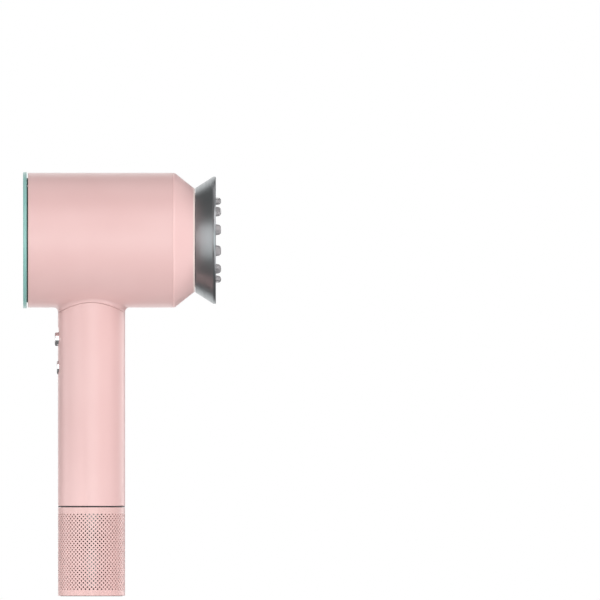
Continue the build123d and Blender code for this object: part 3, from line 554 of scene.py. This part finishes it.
class DRYER_OT_shells(bpy.types.Operator):
    """Lacquers the drum, cone and handle, and colours the pale lip at the nose."""

    bl_idname = "dryer.shells"
    bl_label = "Shells"

    def execute(self, context):
        dress(shell_lacquer, "head_shell", "handle_shell")
        # The cone's lighter lacquer is painted light.
        dress(cone_lacquer_painted_lighter, "front_cone")
        dress(pale_abs, "outlet_rim")
        return {"FINISHED"}


class DRYER_OT_rear(bpy.types.Operator):
    """Finishes the rear disc and its groove, and makes the two dished rear buttons."""

    bl_idname = "dryer.rear"
    bl_label = "Rear disc and buttons"

    def execute(self, context):
        size = sizes()
        dress(disc_lacquer, "rear_disc")
        # The cap in the groove is darkened as painted shadow of the disc.
        dress(groove_nylon_painted_shade, "rear_cap")
        dress(light_guide, "indicator_lights")
        clearance = 0.1 * MM  # keeps the flange off the pocket's floor at full press
        overhang, flange_thickness, stem_radius = 0.8 * MM, 0.6 * MM, 1.2 * MM
        for node in ("speed_button", "heat_button"):
            back, front, centre = low(node), high(node), middle(node)
            face = back.x
            flange_radius = (front.y - back.y) / 2
            radius = flange_radius - overhang
            flange = low("rear_cap").x + clearance
            flange_front = flange + flange_thickness
            button = turn(
                [
                    (face + size.dish_depth, 0, 0),
                    (face, radius * 0.86, 0.12 * MM),
                    (face, radius, size.edge_round),
                    (flange, radius, 0),
                    (flange, flange_radius, 0.1 * MM),
                    (flange_front, flange_radius, 0.1 * MM),
                    (flange_front, stem_radius, 0),
                    (front.x, stem_radius, 0.2 * MM),
                    (front.x, 0, 0),
                ],
                (0, centre.y, centre.z), FORWARDS, 72,
            )
            piece(f"{node}_cap", button, node, chrome_plate, [node])
        return {"FINISHED"}


class DRYER_OT_bore(bpy.types.Operator):
    """Polishes the lining of the hollow head."""

    bl_idname = "dryer.bore"
    bl_label = "Bore lining"

    def execute(self, context):
        dress(bore_gloss, "bore_liner")
        return {"FINISHED"}


class DRYER_OT_controls(bpy.types.Operator):
    """Makes the power slider and the cold-shot button on the back of the handle."""

    bl_idname = "dryer.controls"
    bl_label = "Handle controls"

    def execute(self, context):
        size = sizes()
        stem_radius, plate_thickness, plate_corner = 1.5 * MM, 0.8 * MM, 2.4 * MM
        # A knob's radius, its rounding, and the place along the head where it meets its plate.
        for node, radius, rounding, inner in (
            ("power_slider", 4.2 * MM, 0.75 * MM, -16.6 * MM),
            ("cold_shot_button", 4.1 * MM, size.edge_round, -16.8 * MM),
        ):
            back, front, centre = low(node), high(node), middle(node)
            knob = turn(
                [
                    (back.x + size.dish_depth, 0, 0),
                    (back.x + size.dish_depth * 0.7, radius * 0.45, 0),
                    (back.x, radius * 0.8, 0.25 * MM),
                    (back.x, radius, rounding),
                    (inner, radius, 0),
                    (inner, stem_radius, 0),
                    (front.x, stem_radius, 0.2 * MM),
                    (front.x, 0, 0),
                ],
                (0, centre.y, centre.z), FORWARDS, 96,
            )
            piece(f"{node}_knob", knob, node, chrome_plate, [node])
            plate = bmesh.new()
            width, height = front.y - back.y, front.z - back.z
            bmesh.ops.create_cube(plate, size=1)
            bmesh.ops.scale(plate, vec=(plate_thickness, width, height), verts=plate.verts)
            bmesh.ops.translate(
                plate, vec=(inner + plate_thickness / 2, 0, centre.z), verts=plate.verts,
            )
            corners = [
                e for e in plate.edges
                if abs(e.verts[0].co.x - e.verts[1].co.x) > plate_thickness / 2
            ]
            bmesh.ops.bevel(
                plate, geom=corners, offset=plate_corner, offset_type="OFFSET", segments=6,
                profile=0.5, affect="EDGES", material=-1,
            )
            piece(f"{node}_plate", plate, node, black_nylon, [node])
        return {"FINISHED"}


class DRYER_OT_cage(bpy.types.Operator):
    """Makes the finely perforated filter cage and the wire mesh under it."""

    bl_idname = "dryer.cage"
    bl_label = "Filter cage and mesh"

    def execute(self, context):
        size = sizes()
        bottom, top = low("filter_cage"), high("filter_cage")
        cage = perforated_sleeve(
            top.x, thickness=1.05 * MM, bottom=bottom.z, top=top.z, margin=3.2 * MM,
            pitch=size.cage_pitch, hole=0.8, staggered=True,
        )
        piece("perforated_cage", cage, "filter_cage", cage_paint, ["filter_cage"])
        bottom, top = low("filter_mesh"), high("filter_mesh")
        mesh = perforated_sleeve(
            top.x, thickness=0.25 * MM, bottom=bottom.z, top=top.z, margin=1.5 * MM,
            pitch=size.mesh_pitch, hole=0.5, staggered=False,
        )
        piece("filter_weave", mesh, "dryer", wire_mesh_steel, ["filter_mesh"])
        dress(rubber, "cage_seal")
        return {"FINISHED"}


class DRYER_OT_base(bpy.types.Operator):
    """Finishes the bottom cap with its screws, and makes the rounded cord gland."""

    bl_idname = "dryer.base"
    bl_label = "Base"

    def execute(self, context):
        dress(black_nylon, "base_cap", "cord_clamp")
        dress(steel, "base_screws", "clamp_screws")
        sleeve_radius, bore, flange_thickness = 5.5 * MM, 3.6 * MM, 1.5 * MM
        top, flange = high("cord_gland").z, high("cord_gland").x
        flange_floor = top - flange_thickness
        gland = turn(
            [
                (0, bore, 0.5 * MM),
                (0, sleeve_radius, 0.3 * MM),
                (flange_floor, sleeve_radius, 0),
                (flange_floor, flange, 0.2 * MM),
                (top, flange, 0.2 * MM),
                (top, bore, 0.3 * MM),
            ],
            (0, 0, 0), UP, 96,
        )
        piece("cord_gland_sleeve", gland, "dryer", rubber, ["cord_gland"])
        return {"FINISHED"}


class DRYER_OT_bell(bpy.types.Operator):
    """Makes the nozzle's flared metal bell with its rolled rim."""

    bl_idname = "dryer.bell"
    bl_label = "Nozzle bell"

    def execute(self, context):
        size = sizes()
        bell_low, bell_high = low("nozzle_bell"), high("nozzle_bell")
        rim_front = high("nozzle_rim").x
        mouth = bell_high.z - HEAD_HEIGHT
        neck, wall, floor_thickness, collar_inset = 30.2 * MM, 1.65 * MM, 1.8 * MM, 1.6 * MM
        groove_setback, groove_width = 0.75 * MM, 0.5 * MM
        slope = (mouth - neck) / (bell_high.x - bell_low.x)
        floor = bell_low.x + floor_thickness
        collar = high("nozzle_collar").z - HEAD_HEIGHT - collar_inset

        def flare(x):
            """Outer radius of the bell at a place along the head."""
            return neck + slope * (x - bell_low.x)

        groove_start = bell_high.x - groove_setback
        groove_middle, groove_end = groove_start + groove_width / 2, groove_start + groove_width
        outline = [
            (bell_low.x, collar, 0),
            (bell_low.x, neck, 0.25 * MM),
            (groove_start, flare(groove_start), 0),
            (groove_middle, flare(groove_middle) - size.rim_groove, 0),
            (groove_end, flare(groove_end), 0),
            (bell_high.x + 0.2 * MM, mouth, 0.35 * MM),
            (rim_front, mouth - 0.1 * MM, size.rim_round),
            (rim_front, mouth - wall, size.edge_round),
            (bell_high.x, mouth - wall, 0),
            (floor, flare(floor) - wall, 0),
            (floor, collar, 0),
        ]
        bell = turn(outline, (0, 0, HEAD_HEIGHT), FORWARDS, size.turned_sides)
        piece("flared_bell", bell, "nozzle", turned_metal,
              ["nozzle_bell", "nozzle_rim", "nozzle_magnets"])
        return {"FINISHED"}


class DRYER_OT_diffuser(bpy.types.Operator):
    """Makes the nozzle's hub and blunt prongs, and finishes its perforated face."""

    bl_idname = "dryer.diffuser"
    bl_label = "Diffuser face"

    def execute(self, context):
        size = sizes()
        dress(smoked_plastic, "nozzle_face", "nozzle_collar")
        dress(rubber, "nozzle_seal")
        rear, front = low("nozzle_hub").x, high("nozzle_hub").x
        bore, wall, flange_thickness = 18.0 * MM, 1.2 * MM, 1.0 * MM
        flange = high("nozzle_hub").z - HEAD_HEIGHT
        hub = turn(
            [
                (rear, bore, 0.3 * MM),
                (rear, flange, 0.15 * MM),
                (rear + flange_thickness, flange, 0.15 * MM),
                (rear + flange_thickness, bore + wall, 0.3 * MM),
                (front, bore + wall, 0.5 * MM),
                (front, bore, 0.5 * MM),
            ],
            (0, 0, HEAD_HEIGHT), FORWARDS, size.turned_sides,
        )
        piece("diffuser_hub", hub, "nozzle", smoked_plastic, ["nozzle_hub"])

        rear, front = low("nozzle_prongs").x, high("nozzle_prongs").x
        count, wide, long_side, prong_inset = 12, 5.0 * MM, 7.6 * MM, 4.2 * MM
        lean = 0.14  # how much a prong's radius shrinks for its height
        circle = bore + wall + prong_inset
        height = front - rear
        prongs = bmesh.new()
        for n in range(count):
            prong = bmesh.new()
            bmesh.ops.create_cone(
                prong, cap_ends=True, segments=32, radius1=wide / 2, radius2=wide / 2 - height * lean,
                depth=height,
            )
            for side in (1, -1):
                half = [v for v in prong.verts if v.co.y * side > TOUCH]
                bmesh.ops.translate(prong, vec=(0, side * (long_side - wide) / 2, 0), verts=half)
            tip = [e for e in prong.edges if all(v.co.z > height / 2 - TOUCH for v in e.verts)]
            bmesh.ops.bevel(
                prong, geom=tip, offset=size.prong_round, offset_type="OFFSET", segments=6,
                profile=0.5, affect="EDGES", material=-1,
            )
            angle = (n + 0.5) * tau / count
            place = (
                Matrix.Translation(((rear + front) / 2, 0, HEAD_HEIGHT))
                @ Matrix.Rotation(angle, 4, "X")
                @ Matrix.Translation((0, 0, circle))
                @ Matrix.Rotation(pi / 2, 4, "Y")
            )
            bmesh.ops.transform(prong, matrix=place, verts=prong.verts)
            join(prongs, prong)
        piece("diffuser_prongs", prongs, "nozzle", smoked_plastic, ["nozzle_prongs"])
        return {"FINISHED"}


class DRYER_OT_works(bpy.types.Operator):
    """Finishes what lies inside: heater, motor, boards, ducts and wiring."""

    bl_idname = "dryer.works"
    bl_label = "Inner works"

    def execute(self, context):
        dress(steel, "dock_ring", "thermal_cutout", "temperature_sensor", "ioniser_needle", "rotor_shaft",
              "motor_bearings", "stator_core")
        dress(black_nylon, "outlet_spider", "bulkhead", "neck_duct", "handle_liner", "motor_spider",
              "motor_bridge")
        dress(component_plastic, "button_switches", "board_parts", "power_switch", "cold_shot_switch",
              "control_ribbon", "impeller")
        dress(circuit_board, "control_board", "power_board", "motor_board")
        dress(mica_board, "heater_frame", "heat_shield")
        dress(heating_wire, "heater_coils")
        dress(rubber, "heater_leads", "motor_leads", "motor_mounts")
        dress(turned_metal, "motor_housing")
        dress(copper_wire, "stator_coils")
        dress(sintered_magnet, "rotor_magnet")
        dress(open_foam, "acoustic_foam")
        return {"FINISHED"}


# ---------------------------------------------------------------- studio

def hide_from(obj, *rays):
    """Keeps an object out of the listed kinds of ray."""
    for ray in rays:
        setattr(obj, f"visible_{ray}", False)


def softbox(name, place, target, width, height, power, tone):
    """A rectangular area light that faces a target and doesn't show itself to the camera."""
    lamp = bpy.data.lights.new(name, "AREA")
    lamp.shape = "RECTANGLE"
    lamp.size, lamp.size_y = width, height
    lamp.energy = power
    lamp.color = linear(tone)
    made = bpy.data.objects.new(name, lamp)
    made.location = place
    made.rotation_mode = "QUATERNION"
    made.rotation_quaternion = (Vector(target) - Vector(place)).to_track_quat("-Z", "Y")
    bpy.context.scene.collection.objects.link(made)
    hide_from(made, "camera")


def glowing_white():
    """Evenly lit white backdrop cloth."""
    material = bpy.data.materials.new("lit backdrop")
    material.use_nodes = True
    tree = material.node_tree
    tree.nodes.clear()
    glow = add(tree, "ShaderNodeEmission", {"Color": (1, 1, 1, 1), "Strength": 1.0})
    add(tree, "ShaderNodeOutputMaterial", {"Surface": glow.outputs["Emission"]})
    return material


def pale_floor():
    """Matt white table, lit softly from below, that fades into the backdrop away from the dryer."""
    material, tree, shader, place = start(
        "pale lit table", Roughness=0.7, Emission_Color=(1, 1, 1, 1), Emission_Strength=0.3,
    )
    shade = blend_colours(tree, vary(tree, place, 80, 0, 1), linear("#FAFAFA"), linear("#F6F6F6"))
    tree.links.new(shade, shader.inputs["Base Color"])
    reach = add(tree, "ShaderNodeVectorMath", {0: place}, operation="LENGTH").outputs["Value"]
    fade = add(tree, "ShaderNodeMapRange", {
        "Value": reach, "From Min": 0.06, "From Max": 0.3, "To Min": 1.0, "To Max": 0.0,
    }, interpolation_type="SMOOTHSTEP").outputs["Result"]
    # Seen from below, the table is clear, so that it doesn't hide the dryer's base.
    under = add(tree, "ShaderNodeNewGeometry").outputs["Backfacing"]
    above = add(tree, "ShaderNodeMath", {0: 1.0, 1: under}, operation="SUBTRACT").outputs["Value"]
    alpha = add(tree, "ShaderNodeMath", {0: fade, 1: above}, operation="MULTIPLY").outputs["Value"]
    tree.links.new(alpha, shader.inputs["Alpha"])
    return material


class DRYER_OT_stage(bpy.types.Operator):
    """Sets the table, backdrop, lights and camera."""

    bl_idname = "dryer.stage"
    bl_label = "Studio"

    def execute(self, context):
        scene = bpy.context.scene
        scene.view_settings.view_transform = "Standard"

        table_radius, table_drop, backdrop_radius = 0.6, 0.1 * MM, 8
        table = bmesh.new()
        bmesh.ops.create_circle(table, cap_ends=True, segments=96, radius=table_radius)
        bmesh.ops.translate(table, vec=(0, 0, -table_drop), verts=table.verts)
        backdrop = bmesh.new()
        bmesh.ops.create_uvsphere(backdrop, u_segments=64, v_segments=32, radius=backdrop_radius)
        bmesh.ops.reverse_faces(backdrop, faces=backdrop.faces)
        for name, bm, maker in (("table", table, pale_floor), ("backdrop", backdrop, glowing_white)):
            mesh = bpy.data.meshes.new(name)
            bm.to_mesh(mesh)
            bm.free()
            mesh.materials.append(maker())
            made = bpy.data.objects.new(name, mesh)
            scene.collection.objects.link(made)
            if name == "backdrop":
                hide_from(made, "diffuse", "glossy", "transmission", "shadow")
            else:
                hide_from(made, "glossy", "shadow")

        world = bpy.data.worlds.new("studio room")
        scene.world = world
        world.use_nodes = True
        room = world.node_tree.nodes["Background"]
        room.inputs["Color"].default_value = (1, 1, 1, 1)
        room.inputs["Strength"].default_value = 0.2

        head = (0.02, 0, HEAD_HEIGHT)
        cool, warm, neutral = "#FAFFFF", "#FFF6F7", "#FFFFFF"
        # Each softbox's place, width and height in metres, its power in watts and its tone.
        for name, place, width, height, power, tone in (
            ("key behind camera", (0.1, -4.4, 0.28), 3.2, 2.6, 54, cool),
            ("upper front panel", (1.2, -2.3, 2.4), 3.4, 1.8, 47, warm),
            ("lower front panel", (1.7, -2.3, -1.5), 3.2, 1.6, 28, warm),
            ("left front panel", (-2.3, -2.5, 0.5), 1.4, 1.6, 20, warm),
            ("right front panel", (2.7, -1.7, 0.4), 1.4, 1.8, 6, warm),
            ("left panel", (-2.5, -1.1, 0.206), 0.9, 2.3, 10, neutral),
            ("left rear panel", (-2.6, 0.4, 0.206), 0.9, 2.3, 14, warm),
            ("upper right panel", (2.2, -1.2, 1.8), 1.4, 1.4, 10, warm),
            ("lower right panel", (2.2, -1.2, -1.4), 1.4, 1.4, 12, warm),
            ("overhead panel", (0.0, 0.3, 2.4), 1.6, 1.6, 6, warm),
            ("rear panel", (-0.6, 3.1, 0.206), 2.4, 5.4, 45, neutral),
            ("rear right panel", (2.4, 2.2, 0.8), 1.8, 1.8, 22, neutral),
        ):
            softbox(name, place, head, width, height, power, tone)

        # Looks straight along +Y from beside the dryer. Its view is this wide and high, in metres.
        view_width, view_centre_x, view_centre_z, distance = 0.3472, 0.12065, 0.1714, 3
        lens = bpy.data.cameras.new("camera")
        lens.type = "ORTHO"
        lens.ortho_scale = view_width
        lens.clip_end = 40
        camera = bpy.data.objects.new("camera", lens)
        camera.location = (view_centre_x, -distance, view_centre_z)
        camera.rotation_euler = (pi / 2, 0, 0)
        scene.collection.objects.link(camera)
        scene.camera = camera
        return {"FINISHED"}


# ---------------------------------------------------------------- panel and registration

piece_operators = (
    DRYER_OT_shells, DRYER_OT_rear, DRYER_OT_bore, DRYER_OT_controls, DRYER_OT_cage, DRYER_OT_base,
    DRYER_OT_bell, DRYER_OT_diffuser, DRYER_OT_works, DRYER_OT_stage,
)


class DRYER_PT_sidebar(bpy.types.Panel):
    """Lists the dryer's operators, colours and sizes."""

    bl_idname = "DRYER_PT_sidebar"
    bl_label = "Hair dryer"
    bl_space_type = "VIEW_3D"
    bl_region_type = "UI"
    bl_category = "Dryer"

    def draw(self, context):
        for operator in piece_operators:
            self.layout.operator(operator.bl_idname)
        for group in (colours(), sizes()):
            box = self.layout.box()
            for name in group.__annotations__:
                box.prop(group, name)


registered = (DryerColours, DryerSizes, *piece_operators, DRYER_PT_sidebar)


def register():
    """Registers the classes and hangs the user's settings on the scene."""
    for cls in registered:
        bpy.utils.register_class(cls)
    bpy.types.Scene.dryer_colours = PointerProperty(type=DryerColours)
    bpy.types.Scene.dryer_sizes = PointerProperty(type=DryerSizes)


def unregister():
    """Takes back what register did."""
    del bpy.types.Scene.dryer_colours
    del bpy.types.Scene.dryer_sizes
    for cls in reversed(registered):
        bpy.utils.unregister_class(cls)


def main():
    register()
    for operator in piece_operators:
        group, name = operator.bl_idname.split(".")
        getattr(getattr(bpy.ops, group), name)()


if __name__ == "__main__":
    main()
